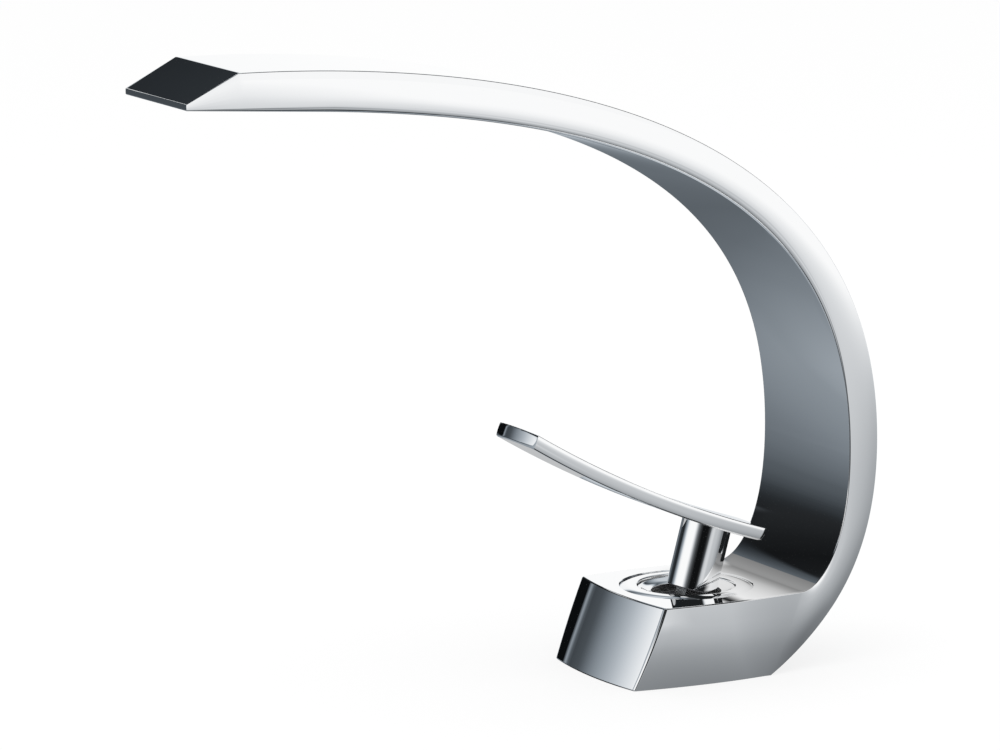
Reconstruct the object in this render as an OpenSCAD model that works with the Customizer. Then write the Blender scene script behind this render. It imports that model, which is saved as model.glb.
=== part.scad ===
// Basin mixer tap: a low block that sweeps up at the back into a wide, flat C-shaped spout, with a
// joystick cartridge in the block and a slim curved lever on a leaning post.
// Millimetres. +Z is up, the spout reaches towards -Y, and the origin lies on the deck, in the
// middle of the block's footprint. The lever is drawn raised, with the water running.

/* [Base block] */
// Height of the block's flat top above the deck
base_h = 24.9; // [24.9:0.1:34]
// Width of the block at its front corners
base_front_w = 50; // [48:0.5:60]
// Width of the block at its widest, beside the cartridge
base_mid_w = 55.6; // [54:0.2:66]
// Length of the footprint between its front and rear corners
base_len = 47.2; // [46:0.2:56]
// Lean of the front face from the vertical, in degrees
front_lean = 21.7; // [12:0.1:24]
// How far the front face bulges in its middle
front_crown = 2.4; // [1:0.1:5]

/* [Spout] */
// Reach of the spout's tip in front of the origin
spout_reach = 169.2; // [150:0.2:220]
// Height of the spout's crest
crest_h = 196; // [180:1:260]
// Length of the sloping face that cuts the tip
bevel_len = 16.2; // [12:0.2:22]
// Fall of the sloping face from the crest to the front edge
bevel_drop = 8.1; // [5:0.1:9]
// Thickness of the spout's front edge
tip_edge = 1.9; // [1:0.1:3]
// Width of the spout at its tip
tip_w = 41.5; // [38:0.5:50]
// Width of the spout at its back
back_w = 51; // [48:0.5:60]
// How far the back of the spout lies behind the origin
back_y = 61.8; // [58:0.2:80]
// Height at which the back of the spout is furthest behind
back_z = 68.8; // [60:0.2:85]
// Thickness of the spout at its back
back_t = 9.9; // [8.5:0.1:13]
// Thickness of the spout where the straight part of its underside ends
arch_t = 12.1; // [10.5:0.1:14]
// Length of the straight underside that holds the outlet
under_len = 45.2; // [42:0.2:50]
// Metal left between the waterway and the outside
wall = 2.3; // [1.8:0.1:2.8]
// Width of the waterway inside the spout
channel_w = 34; // [24:1:36]

/* [Deck side] */
// Radius of each M10 x 1 hose socket, at the thread's crests
hose_r = 4.45; // [4:0.05:5]
// Distance of each hose socket from the middle plane
hose_x = 8.2; // [7.8:0.1:9]
// Depth of the hose sockets
hose_depth = 5.6; // [4:0.1:6]
// Radius of the M8 stud hole, at the thread's crests
stud_r = 3.4; // [2.5:0.1:4]
// Distance of the stud hole in front of the origin
stud_y = 13.5; // [13.2:0.1:15]
// Depth of the stud hole
stud_depth = 13; // [8:0.5:15]
// Distance of the seal's centre in front of the origin
seal_y = 2.4; // [1:0.1:3]
// Outer radius of the deck seal
seal_r = 21.6; // [20:0.1:22]
// Width of the deck seal
seal_w = 2.4; // [1.5:0.1:3]
// Depth of the deck seal's groove
seal_t = 1.6; // [1:0.1:2]

/* [Cartridge] */
// Distance of the cartridge's axis behind the origin
cart_y = 8.8; // [8:0.1:10]
// Radius of the cartridge's housing
cart_r = 16.8; // [15.5:0.1:17.2]
// Radial play of the cartridge in its chamber
cart_play = 0.2; // [0.1:0.05:0.3]
// Wall of the cartridge's housing
housing_wall = 2.4; // [2:0.1:2.8]
// Thickness of the cartridge's base plate, and of the port seals in it
plate_t = 1.8; // [1.4:0.1:2.4]
// Thickness of the fixed ceramic disc
fixed_t = 1.6; // [1.2:0.1:2.2]
// Thickness of the sliding ceramic disc
slide_t = 1.4; // [1.2:0.1:2]
// Radius of the sliding disc and of its carrier
slide_r = 11; // [10:0.1:11.8]
// Thickness of the disc carrier
carrier_t = 2.5; // [2.2:0.1:3]
// Gap between the carrier and the swivel guide
carrier_gap = 0.7; // [0.4:0.1:1]
// Thickness of the swivel guide's lower disc
guide_t = 3.7; // [3.6:0.1:4.5]
// Radius of the swivel guide's neck
neck_r = 10.3; // [9.5:0.1:10.6]
// Thickness of the glide ring over the swivel guide
glide_t = 0.5; // [0.3:0.1:0.8]
// Thickness of the housing's top flange
flange_t = 1.4; // [1.2:0.1:2]
// Height of the pivot pin above the swivel guide's lower face
pivot_rise = 2; // [1.9:0.1:2.2]
// Radius of the pivot pin
pin_r = 1.1; // [0.9:0.05:1.2]
// Distance of the spindle's ball below the pivot
ball_drop = 3.75; // [3.6:0.05:3.8]
// Radius of the spindle's ball
ball_r = 1.35; // [1.2:0.05:1.4]
// Radius of the ports in the base plate and the fixed disc
port_r = 2.3; // [1.8:0.1:2.5]
// Distance of each inlet port from the middle plane
inlet_x = 6.4; // [6:0.1:6.8]
// Distance of the inlet ports in front of the cartridge's axis
inlet_front = 3.6; // [3:0.1:4]
// Distance of the outlet port behind the cartridge's axis
outlet_back = 6.2; // [5.5:0.1:6.6]
// Rubber width of each port seal
port_seal_w = 1.1; // [0.8:0.1:1.3]

/* [Rings] */
// Thickness of the clamp ring that holds the cartridge down
clamp_t = 2; // [1.6:0.1:3]
// Outer radius of the clamp ring
clamp_r = 17.9; // [17.6:0.1:18.2]
// Inner radius of the clamp ring
clamp_bore_r = 13.2; // [12.5:0.1:13.6]
// Outer radius of the bright cover ring
ring_r = 20.6; // [19.5:0.1:21]
// Radius of the cover ring's opening
ring_bore_r = 15.2; // [14.8:0.1:15.6]
// Thickness of the cover ring's flange
ring_t = 1.8; // [1.4:0.1:2.2]
// How far the cover ring stands above the block
ring_proud = 0.2; // [0.1:0.1:0.8]
// Width of the slope round the cover ring's edge
ring_slope_w = 2.4; // [0.5:0.1:3]
// Fall of the slope round the cover ring's edge
ring_slope_fall = 0.7; // [0.3:0.1:1.2]
// Depth of the cover ring's skirt, below its flange
skirt_h = 0.7; // [0.5:0.1:1.2]
// Radius of the hole in the dished cover
dish_bore_r = 10.8; // [10.4:0.1:11.4]

/* [Lever] */
// Lean of the raised lever's post behind the vertical, in degrees
raised_lean = 15.3; // [12:0.1:16]
// Radius of the post
post_r = 7.8; // [7:0.1:8]
// Height of the post's foot above the pivot
post_foot = 6.8; // [6.6:0.1:7.5]
// Height of the blade's top above the pivot, on the post's axis
blade_rise = 31.3; // [28:0.1:40]
// Thickness of the blade
blade_t = 4.3; // [3:0.1:5]
// Radius of the blade's long upward curve
blade_curve_r = 378; // [300:1:500]
// Distance behind the post at which the curve is lowest
blade_low_y = 31.2; // [20:0.2:40]
// Reach of the blade in front of the post's axis
blade_front = 74.6; // [60:0.2:90]
// Reach of the blade behind the post's axis
blade_back = 15.8; // [12:0.2:18]
// Width of the blade at its front
blade_front_w = 24.4; // [20:0.2:30]
// Width of the blade at its back
blade_back_w = 21; // [18:0.2:26]
// Radius of the blade's rounded rear corners, in plan
blade_corner_r = 2; // [1:0.5:8]
// Radius of the blade's rounded front end, in plan
blade_nose_r = 60; // [30:1:90]
// Width of the flat-sided spindle, from side to side
spindle_w = 6; // [5:0.1:6.4]
// Depth of the spindle, from front to back
spindle_d = 7; // [6:0.1:7.4]
// Height of the spindle's top above the pivot
spindle_h = 18.4; // [16:0.1:20]
// Radius of the grub screw that holds the post on the spindle
grub_r = 2.5; // [2:0.1:3]
// Height of the grub screw above the pivot
grub_h = 12.6; // [12:0.1:14]

/* [Outlet] */
// Distance of the outlet's centre behind the spout's tip
outlet_inset = 29.2; // [28:0.2:32]
// Radius of the threaded recess for the aerator
aerator_r = 11.6; // [10.5:0.1:12]
// Height of the aerator's housing
aerator_h = 5.2; // [4.8:0.1:6]
// Wall of the aerator's housing
aerator_wall = 1.3; // [1:0.1:1.8]
// Thickness of the aerator's washer
aerator_washer_t = 1; // [0.8:0.1:1.5]
// Radius of the jet holes in the aerator's insert
jet_r = 0.8; // [0.6:0.05:0.9]

/* [Hidden] */

fine = 96;
eps = 0.01;
slip = 0.1;
play = 0.05;

// Heights of the cartridge's stack, worked down from the block's top
ring_top = base_h + ring_proud;
ring_seat = ring_top - ring_t;
clamp_top = ring_seat - skirt_h;
housing_top = clamp_top - clamp_t;
flange_z = housing_top - flange_t;
guide_top = flange_z - glide_t;
guide_z = guide_top - guide_t;
pivot_z = guide_z + pivot_rise;
carrier_top = guide_z - carrier_gap;
carrier_z = carrier_top - carrier_t;
slide_z = carrier_z - slide_t;
plate_top = slide_z - fixed_t;
chamber_z = plate_top - plate_t;
chamber_r = cart_r + cart_play;
housing_bore_r = cart_r - housing_wall;
guide_r = housing_bore_r - 0.8;
port_seal_r = port_r + port_seal_w;
inlet_y = cart_y - inlet_front;
outlet_y = cart_y + outlet_back;
slide_shift = -ball_drop * sin(raised_lean);
ports = [[inlet_x, inlet_y], [-inlet_x, inlet_y], [0, outlet_y]];

// Side view of the spout, as [y, z] points
crest = [bevel_len - spout_reach, crest_h];
tip_top = [-spout_reach, crest_h - bevel_drop];
tip_under = [-spout_reach, crest_h - bevel_drop - tip_edge];
arch_start = [under_len - spout_reach, crest_h - 1 - arch_t];
under_slope = atan2(arch_start[1] - tip_under[1], under_len);
foot = [base_len / 2, 0];
foot_slope = 30;
fillet_end = [34.9, base_h];
outer_back = [back_y, back_z];
inner_back = [back_y - back_t, back_z - 2.5];
crest_pull = 64;
outer_rise = 114;
outer_fall = 32;
foot_pull = 30;
arch_pull = 150;
inner_rise = 50.5;
inner_fall = 31;
fillet_pull = 6.4;
spout_steps = 30;
foot_steps = 12;

function along(angle, length) = length * [cos(angle), sin(angle)];
function curve(a, b, c, d, steps) = [for (i = [0:steps]) let (t = i / steps, s = 1 - t)
    s * s * s * a + 3 * s * s * t * b + 3 * s * t * t * c + t * t * t * d];
function without_first(list) = [for (i = [1:len(list) - 1]) list[i]];
function backwards(list) = [for (i = [len(list) - 1:-1:0]) list[i]];
function side_step(list, i) = list[min(i + 1, len(list) - 1)] - list[max(i - 1, 0)];
function shifted(list, distance) = [for (i = [0:len(list) - 1]) let (d = side_step(list, i))
    list[i] + distance * [d[1], -d[0]] / norm(d)];

outer_line = concat(
    curve(crest, crest + [crest_pull, 0], outer_back + [0, outer_rise], outer_back, spout_steps),
    without_first(curve(outer_back, outer_back - [0, outer_fall], foot + along(foot_slope, foot_pull), foot,
        foot_steps)));
inner_line = concat(
    curve(arch_start, arch_start + along(under_slope, arch_pull), inner_back + [0, inner_rise], inner_back,
        spout_steps),
    without_first(curve(inner_back, inner_back - [0, inner_fall], fillet_end + [fillet_pull, 0], fillet_end,
        foot_steps)));

// The waterway keeps one wall from both lines, from behind the outlet down to the block
plenum_back = outlet_inset - spout_reach + aerator_r + 2;
channel_foot_z = base_h + 3.5;
duct_w = 18;
duct_h = 3.2;
duct_z = chamber_z - 1.1 - duct_h;
channel_outer = [for (p = shifted(outer_line, wall)) if (p[0] > plenum_back && p[1] > channel_foot_z - 6) p];
channel_inner = [for (p = shifted(inner_line, -wall)) if (p[0] > plenum_back && p[1] > channel_foot_z) p];

// Block outline, in plan
barrel_y = 8.5;
barrel_pull = 11;
barrel_slope = 80;
crown_fall = front_crown * cos(front_lean);
crown_r = (base_front_w * base_front_w / 4 + crown_fall * crown_fall) / (2 * crown_fall);
taper_end = 35;
block_corner = [base_front_w / 2, -base_len / 2];
block_belly = [base_mid_w / 2, barrel_y];
block_end = [back_w / 2, taper_end + 10];
block_side = concat([block_corner - along(barrel_slope, 2 * front_crown + 3)],
    curve(block_corner, block_corner + along(barrel_slope, barrel_pull), block_belly - [0, barrel_pull],
        block_belly, 8),
    without_first(curve(block_belly, block_belly + [0, barrel_pull], block_end - [0, barrel_pull], block_end,
        10)));

aerator_y = outlet_inset - spout_reach;
aerator_z = tip_under[1] + outlet_inset * tan(under_slope);
aerator_depth = aerator_h + aerator_washer_t;
plenum_r = 8.5;
plenum_h = 2.2;

module at_cartridge(z = 0) { translate([0, cart_y, z]) children(); }
module tube(r, bore, h) {
    difference() {
        cylinder(r = r, h = h, $fn = fine);
        translate([0, 0, -eps]) cylinder(r = bore, h = h + 2 * eps, $fn = fine);
    }
}
module across(width) { rotate([90, 0, 90]) linear_extrude(width, center = true) children(); }
module bar(r, length) { rotate([0, 90, 0]) cylinder(r = r, h = length, center = true, $fn = fine); }
module at_pivot() { at_cartridge(pivot_z) rotate([-raised_lean, 0, 0]) children(); }
module at_outlet() { translate([0, aerator_y, aerator_z]) rotate([under_slope, 0, 0]) children(); }
module mirrored_pair() {
    children();
    mirror([1, 0, 0]) children();
}

// Side view of block and spout together
module body_profile() {
    polygon(concat(outer_line, [[-base_len, 0], [-base_len, base_h]], backwards(inner_line),
        [tip_under, tip_top]));
}

// Plan of the spout: narrow at the tip, full width at the back
module spout_plan() {
    steps = 24;
    edge = [for (i = [0:steps]) let (y = -spout_reach - 1 + i * (taper_end + spout_reach + 1) / steps,
        share = (taper_end - y) / (taper_end + spout_reach))
        [back_w / 2 - share * share * (back_w - tip_w) / 2, y]];
    far = [[back_w / 2, back_y + 5]];
    near_side = concat(edge, far);
    polygon(concat(near_side, [for (p = backwards(near_side)) [-p[0], p[1]]]));
}

// Plan of the block: both long sides bulge like a barrel
module block_plan() {
    polygon(concat(block_side, [for (p = backwards(block_side)) [-p[0], p[1]]]));
}

// Everything behind the leaning front face
module behind_front() {
    translate([0, -base_len / 2 - front_crown + crown_r / cos(front_lean), 0]) rotate([-front_lean, 0, 0])
        cylinder(r = crown_r, h = 4 * crown_r, center = true, $fn = 8 * fine);
    translate([-base_mid_w, -2 * spout_reach, 2 * base_h]) cube([2 * base_mid_w, 4 * spout_reach, 2 * crest_h]);
}

module waterway() {
    across(channel_w) polygon(concat(channel_outer, backwards(channel_inner)));
    across(duct_w) polygon([[outlet_y - port_r, duct_z], [foot[0] + 1.9, duct_z],
        channel_outer[len(channel_outer) - 1], channel_inner[len(channel_inner) - 1],
        [cart_y + chamber_r + 1, duct_z + duct_h], [outlet_y - port_r, duct_z + duct_h]]);
    translate([0, outlet_y, duct_z + eps]) cylinder(r = port_r, h = chamber_z - duct_z, $fn = fine);
    mirrored_pair() translate([inlet_x, inlet_y, hose_depth - eps])
        cylinder(r = port_r, h = chamber_z - hose_depth + 2 * eps, $fn = fine);
}

module outlet_recess() {
    at_outlet() {
        translate([0, 0, -2]) cylinder(r = aerator_r, h = 2 + aerator_depth, $fn = fine);
        cylinder(r = plenum_r, h = aerator_depth + plenum_h, $fn = fine);
        translate([-plenum_r, 0, aerator_depth + eps]) cube([2 * plenum_r, aerator_r + 6, plenum_h - eps]);
    }
}

module deck_holes() {
    mirrored_pair() translate([hose_x, inlet_y, -eps]) cylinder(r = hose_r, h = hose_depth + eps, $fn = fine);
    translate([0, -stud_y, -eps]) cylinder(r = stud_r, h = stud_depth + eps, $fn = fine);
    translate([0, -seal_y, -eps]) tube(seal_r, seal_r - seal_w, seal_t + eps);
}

module cartridge_chamber() {
    at_cartridge(chamber_z) cylinder(r = chamber_r, h = base_h, $fn = fine);
    at_cartridge(housing_top - 0.3) cylinder(r = clamp_r + slip, h = base_h, $fn = fine);
    at_cartridge(ring_seat) cylinder(r = ring_r + 2 * slip, h = ring_t + base_h, $fn = fine);
}

module tap_body() {
    color("gainsboro") difference() {
        intersection() {
            across(2 * base_mid_w) body_profile();
            union() {
                linear_extrude(2 * base_h) block_plan();
                linear_extrude(2 * crest_h) spout_plan();
            }
            behind_front();
        }
        cartridge_chamber();
        waterway();
        outlet_recess();
        deck_holes();
    }
}

module deck_seal() {
    color("dimgray") translate([0, -seal_y, 0]) tube(seal_r - play, seal_r - seal_w + play, seal_t);
}

module cartridge_plate() {
    color("ivory") difference() {
        at_cartridge(chamber_z) cylinder(r = cart_r, h = plate_t, $fn = fine);
        for (at = ports) translate([at[0], at[1], chamber_z - eps])
            cylinder(r = port_seal_r + play, h = plate_t + 2 * eps, $fn = fine);
    }
}

module port_seal(x, y) {
    color("black") translate([x, y, chamber_z]) tube(port_seal_r, port_r, plate_t);
}

module fixed_disc() {
    color("white") difference() {
        at_cartridge(plate_top) cylinder(r = housing_bore_r - slip, h = fixed_t, $fn = fine);
        for (at = ports) translate([at[0], at[1], plate_top - eps])
            cylinder(r = port_r, h = fixed_t + 2 * eps, $fn = fine);
    }
}

// The mixing pocket in the sliding disc's underside joins the inlets to the outlet
pocket_t = slide_t / 2;
pocket_r = slide_r * 0.55;

module sliding_disc() {
    color("linen") translate([0, slide_shift, 0]) difference() {
        at_cartridge(slide_z) cylinder(r = slide_r, h = slide_t, $fn = fine);
        at_cartridge(slide_z - eps) {
            cylinder(r = pocket_r, h = pocket_t + eps, $fn = fine);
            translate([0, outlet_back, 0]) cylinder(r = port_r, h = pocket_t + eps, $fn = fine);
        }
    }
}

// Two ribs on the carrier slide in the swivel guide's grooves
rib_x = 8.5;
rib_w = 2.4;
rib_len = 10;
rib_h = 0.6;
rib_stroke = 2;
ball_seat_r = ball_r + 3 * play;

module disc_carrier() {
    color("darkorange") translate([0, slide_shift, 0]) difference() {
        union() {
            at_cartridge(carrier_z) cylinder(r = slide_r, h = carrier_t, $fn = fine);
            mirrored_pair() translate([rib_x - rib_w / 2, cart_y - rib_len / 2, carrier_top - eps])
                cube([rib_w, rib_len, carrier_gap + rib_h]);
        }
        at_cartridge(carrier_z - eps) cylinder(r = ball_seat_r, h = carrier_t + 2 * eps, $fn = fine);
    }
}

o_ring_r = 0.9;
o_ring_z = guide_z - 1.6;

module cartridge_housing() {
    color("whitesmoke") difference() {
        at_cartridge(plate_top) cylinder(r = cart_r, h = housing_top - plate_top, $fn = fine);
        at_cartridge(plate_top - eps) cylinder(r = housing_bore_r, h = flange_z - plate_top + eps, $fn = fine);
        at_cartridge(flange_z - eps) cylinder(r = neck_r + slip, h = flange_t + 2 * eps, $fn = fine);
        at_cartridge(o_ring_z - o_ring_r - play) tube(cart_r + 1, chamber_r - 2 * o_ring_r - 2 * play,
            2 * (o_ring_r + play));
    }
}

module housing_o_ring() {
    color("black") at_cartridge(o_ring_z) rotate_extrude($fn = fine)
        translate([chamber_r - o_ring_r - play, 0]) circle(r = o_ring_r, $fn = 32);
}

// The slot in the guide is longer than the spindle, so that the lever can tilt
tilt_room = 3.4;
slot_d = spindle_d + tilt_room;

module swivel_guide() {
    color("steelblue") difference() {
        union() {
            at_cartridge(guide_z) cylinder(r = guide_r, h = guide_t, $fn = fine);
            at_cartridge(guide_top - eps) cylinder(r = neck_r, h = housing_top - guide_top + eps, $fn = fine);
        }
        at_cartridge(guide_z - eps) translate([-spindle_w / 2 - 2 * slip, -slot_d / 2, 0])
            cube([spindle_w + 4 * slip, slot_d, housing_top - guide_z + 2 * eps]);
        at_cartridge(pivot_z) bar(pin_r, 2 * guide_r + 2);
        mirrored_pair() translate([rib_x - rib_w / 2 - slip, cart_y - rib_len / 2 - rib_stroke, guide_z - eps])
            cube([rib_w + 2 * slip, rib_len + 2 * rib_stroke, rib_h + slip + eps]);
    }
}

module pivot_pin() {
    color("silver") at_cartridge(pivot_z) bar(pin_r, 2 * guide_r - 1);
}

module glide_ring() {
    color("khaki") at_cartridge(guide_top) tube(guide_r, neck_r + slip, glide_t);
}

eye_r = pin_r + 1.1;
ball_neck_r = ball_r * 0.62;
ball_neck_h = ball_drop - pin_r - 0.3;

module lever_spindle() {
    color("darkgoldenrod") at_pivot() {
        difference() {
            union() {
                bar(eye_r, spindle_w);
                translate([-spindle_w / 2, -eye_r, 0]) cube([spindle_w, 2 * eye_r, eye_r + 1]);
                translate([-spindle_w / 2, -spindle_d / 2, eye_r])
                    cube([spindle_w, spindle_d, spindle_h - eye_r]);
                translate([0, 0, -ball_drop]) cylinder(r = ball_neck_r, h = ball_neck_h, $fn = fine);
                translate([0, 0, -ball_drop]) sphere(r = ball_r, $fn = fine);
            }
            bar(pin_r + play, spindle_w + 2);
        }
    }
}

module clamp_ring() {
    color("goldenrod") at_cartridge(housing_top) tube(clamp_r, clamp_bore_r, clamp_t);
}

module cover_ring() {
    lip = 0.5;
    color("lightgray") at_cartridge() rotate_extrude($fn = fine) polygon([
        [ring_bore_r, clamp_top], [clamp_r - 1, clamp_top], [clamp_r - 1, ring_seat], [ring_r, ring_seat],
        [ring_r, ring_top - ring_slope_fall], [ring_r - ring_slope_w, ring_top], [ring_bore_r + lip, ring_top],
        [ring_bore_r, ring_top - lip]]);
}

dish_sunk = 0.8;
dish_rim_w = 0.7;
dish_t = 0.6;

module dished_cover() {
    rim_r = ring_bore_r - 2 * slip;
    color("lightgray") at_cartridge() rotate_extrude($fn = fine) polygon([
        [dish_bore_r, clamp_top], [rim_r, clamp_top], [rim_r, ring_top - dish_sunk],
        [rim_r - dish_rim_w, ring_top - dish_sunk], [dish_bore_r, clamp_top + dish_t]]);
}

blade_centre_z = blade_rise + sqrt(blade_curve_r * blade_curve_r - blade_low_y * blade_low_y);
blade_under_r = blade_curve_r + blade_t;
screw_r = 1.95;
screw_head_r = spindle_w / 2 - slip;
screw_head_h = 2.2;
screw_key_r = 1.4;
screw_bite = 2.4;
screw_top = blade_rise - blade_t + screw_bite;

module under_blade_sweep(r) {
    translate([0, blade_low_y, blade_centre_z]) rotate([0, 90, 0])
        cylinder(r = r, h = 2 * blade_front_w, center = true, $fn = 4 * fine);
}

module blade_plan() {
    corner_x = blade_back_w / 2 - blade_corner_r;
    intersection() {
        union() {
            polygon([[-blade_front_w / 2, -blade_front], [blade_front_w / 2, -blade_front],
                [blade_back_w / 2, blade_back - blade_corner_r],
                [-blade_back_w / 2, blade_back - blade_corner_r]]);
            translate([-corner_x, 0]) square([2 * corner_x, blade_back]);
            for (x = [-corner_x, corner_x]) translate([x, blade_back - blade_corner_r])
                circle(r = blade_corner_r, $fn = fine);
        }
        translate([0, blade_nose_r - blade_front]) circle(r = blade_nose_r, $fn = 2 * fine);
    }
}

module lever_blade() {
    color("gainsboro") at_pivot() difference() {
        intersection() {
            linear_extrude(blade_rise + blade_front) blade_plan();
            under_blade_sweep(blade_under_r);
        }
        under_blade_sweep(blade_curve_r);
        cylinder(r = screw_r + play, h = screw_top, $fn = fine);
    }
}

module lever_post() {
    color("gainsboro") at_pivot() difference() {
        translate([0, 0, post_foot]) cylinder(r = post_r, h = blade_rise - post_foot, $fn = fine);
        under_blade_sweep(blade_under_r);
        translate([-spindle_w / 2 - slip, -spindle_d / 2 - slip, 0])
            cube([spindle_w + 2 * slip, spindle_d + 2 * slip, spindle_h + slip]);
        cylinder(r = screw_head_r + slip, h = spindle_h + slip + screw_head_h, $fn = fine);
        cylinder(r = screw_r + play, h = blade_rise, $fn = fine);
        translate([0, 0, grub_h]) rotate([-90, 0, 0]) cylinder(r = grub_r + play, h = 2 * post_r, $fn = fine);
    }
}

module post_screw() {
    color("dimgray") at_pivot() difference() {
        union() {
            translate([0, 0, spindle_h + slip]) cylinder(r = screw_head_r, h = screw_head_h, $fn = fine);
            cylinder(r = screw_r, h = screw_top - slip, $fn = fine);
        }
        cylinder(r = 2 * screw_r, h = spindle_h + slip, $fn = fine);
        cylinder(r = screw_key_r, h = spindle_h + screw_key_r, $fn = 6);
    }
}

grub_inset = 0.5;
grub_floor = 1.5;

module grub_screw() {
    color("dimgray") at_pivot() translate([0, spindle_d / 2, grub_h]) rotate([-90, 0, 0]) difference() {
        cylinder(r = grub_r, h = post_r - spindle_d / 2 - grub_inset, $fn = fine);
        translate([0, 0, grub_floor]) cylinder(r = grub_r / 2, h = post_r, $fn = 6);
    }
}

// Jets stand in rings of six, one pitch apart
jet_pitch = 3.1;
screen_t = 0.6;
lip_t = 0.9;
lip_w = 1.2;
insert_r = aerator_r - slip - aerator_wall - play;
insert_h = aerator_h - lip_t - screen_t;

module aerator_housing() {
    shell_r = aerator_r - slip;
    color("silver") at_outlet() difference() {
        cylinder(r = shell_r, h = aerator_h, $fn = fine);
        translate([0, 0, lip_t]) cylinder(r = shell_r - aerator_wall, h = aerator_h, $fn = fine);
        translate([0, 0, -eps]) cylinder(r = shell_r - aerator_wall - lip_w, h = aerator_h, $fn = fine);
    }
}

module aerator_insert() {
    color("lightsteelblue") at_outlet() translate([0, 0, lip_t]) difference() {
        cylinder(r = insert_r, h = insert_h, $fn = fine);
        for (row = [0:2], i = [0:max(6 * row - 1, 0)]) rotate(i * 60 / max(row, 1))
            translate([jet_pitch * row, 0, -eps]) cylinder(r = jet_r, h = insert_h + 2 * eps, $fn = 24);
    }
}

module aerator_screen() {
    color("silver") at_outlet() translate([0, 0, lip_t + insert_h]) difference() {
        cylinder(r = insert_r, h = screen_t, $fn = fine);
        for (row = [1:2], i = [0:6 * row - 1]) rotate((i + 0.5) * 60 / row)
            translate([jet_pitch * row, 0, -eps]) cylinder(r = jet_r, h = screen_t + 2 * eps, $fn = 24);
    }
}

module aerator_washer() {
    color("black") at_outlet() translate([0, 0, aerator_h]) tube(aerator_r - slip, plenum_r, aerator_washer_t);
}

tap_body();
deck_seal();
cartridge_plate();
port_seal(-inlet_x, inlet_y);  // hot_inlet_seal
port_seal(inlet_x, inlet_y);  // cold_inlet_seal
port_seal(0, outlet_y);  // outlet_seal
fixed_disc();
sliding_disc();
disc_carrier();
cartridge_housing();
housing_o_ring();
swivel_guide();
pivot_pin();
glide_ring();
lever_spindle();
clamp_ring();
cover_ring();
dished_cover();
lever_post();
lever_blade();
post_screw();
grub_screw();
aerator_housing();
aerator_insert();
aerator_screen();
aerator_washer();
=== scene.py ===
import math

import bpy
import bmesh
from mathutils import Matrix, Vector

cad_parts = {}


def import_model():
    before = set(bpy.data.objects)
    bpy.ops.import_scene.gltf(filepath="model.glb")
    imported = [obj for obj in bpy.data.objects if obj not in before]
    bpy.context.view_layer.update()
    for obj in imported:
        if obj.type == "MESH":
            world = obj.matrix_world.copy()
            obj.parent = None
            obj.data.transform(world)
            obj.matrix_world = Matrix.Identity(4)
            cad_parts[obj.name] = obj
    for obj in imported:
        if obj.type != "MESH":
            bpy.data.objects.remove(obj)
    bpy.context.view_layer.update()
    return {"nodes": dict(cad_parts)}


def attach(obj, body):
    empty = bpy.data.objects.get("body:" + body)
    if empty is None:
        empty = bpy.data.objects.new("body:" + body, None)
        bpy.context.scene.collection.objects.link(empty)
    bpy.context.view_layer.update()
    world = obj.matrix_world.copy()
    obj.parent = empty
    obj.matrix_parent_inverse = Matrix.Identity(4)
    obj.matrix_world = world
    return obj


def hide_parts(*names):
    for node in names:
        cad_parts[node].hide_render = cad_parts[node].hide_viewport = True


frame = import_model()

MM = 0.001

# Sizes in millimetres, as the castings are drawn
BASE_H = 24.9
BASE_FRONT_W = 50.0
BASE_MID_W = 55.6
BASE_LEN = 47.2
FRONT_LEAN = math.radians(21.7)
FRONT_CROWN = 2.4
REACH = 169.2
CREST_H = 196.0
BEVEL_LEN = 16.2
BEVEL_DROP = 8.1
TIP_EDGE = 1.9
TIP_W = 41.5
BACK_W = 51.0
BACK_Y = 61.8
BACK_Z = 68.8
BACK_T = 9.9
ARCH_T = 12.1
ARCH_DROP = 1
INNER_BACK_DROP = 2.5
UNDER_LEN = 45.2
TAPER_END = 35.0
FILLET_Y = 34.9
BELLY_Y = 8.5
MERGE_LEN = 10

# How far the end points of the casting's curves pull, and the angles they pull at, in degrees
CREST_PULL = 64
OUTER_BACK_PULL = 114
OUTER_LOW_PULL = 32
FOOT_ANGLE = 30
FOOT_PULL = 30
ARCH_PULL = 150
INNER_BACK_PULL = 50.5
INNER_LOW_PULL = 31
FILLET_PULL = 6.4
SIDE_ANGLE = 80
SIDE_PULL = 11

# Rounding of the casting's edges
TIP_EDGES = (0.45, 0.35)
BLOCK_EDGES = (0.45, 0.5)
INNER_EDGE = 0.45
INNER_EDGE_GAIN = 1.75
GAIN_FROM_Z = 85
GAIN_OVER_Z = 55
UNDER_EDGE = 0.4
UNDER_EDGE_GAIN = 1.8
BEVEL_EDGE = 0.12
OUTER_EDGE = 0.25
CUT_EDGE = 0.12
CORNER_R = 0.9
CORNER_INSET = 0.3
WIDEST_EDGE = 0.42
SIDE_CROWN = 0.022

# Points on the casting's curves, and steps along and across it
ARCH_POINTS = 600
FOOT_POINTS = 300
SIDE_POINTS = 200
EDGE_STEPS = 7
FLANK_STEPS = 6
CORNER_STEPS = 6
UNDER_STEPS = 40
ARCH_STEPS = 150
FOOT_STEPS = 60
BLOCK_STEPS = 26
FRONT_STEPS = 48
HOLE_SEGMENTS = 64

# Cuts in the casting
WELL_R = 17.0
WELL_FLOOR = 8
WELL_TOP = 20.2
SEAL_BORE = 19.2
SEAL_R = 21.6
SEAL_DEPTH = 1.6
SEAL_Y = -2.4
HOSE_R = 4.45
HOSE_X = 8.2
HOSE_Y = 5.2
HOSE_DEPTH = 5.6
STUD_R = 3.4
STUD_Y = -13.5
STUD_DEPTH = 13
OUTLET_INSET = 29.2
OUTLET_R = 11.6
OUTLET_DEPTH = 6.2

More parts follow.
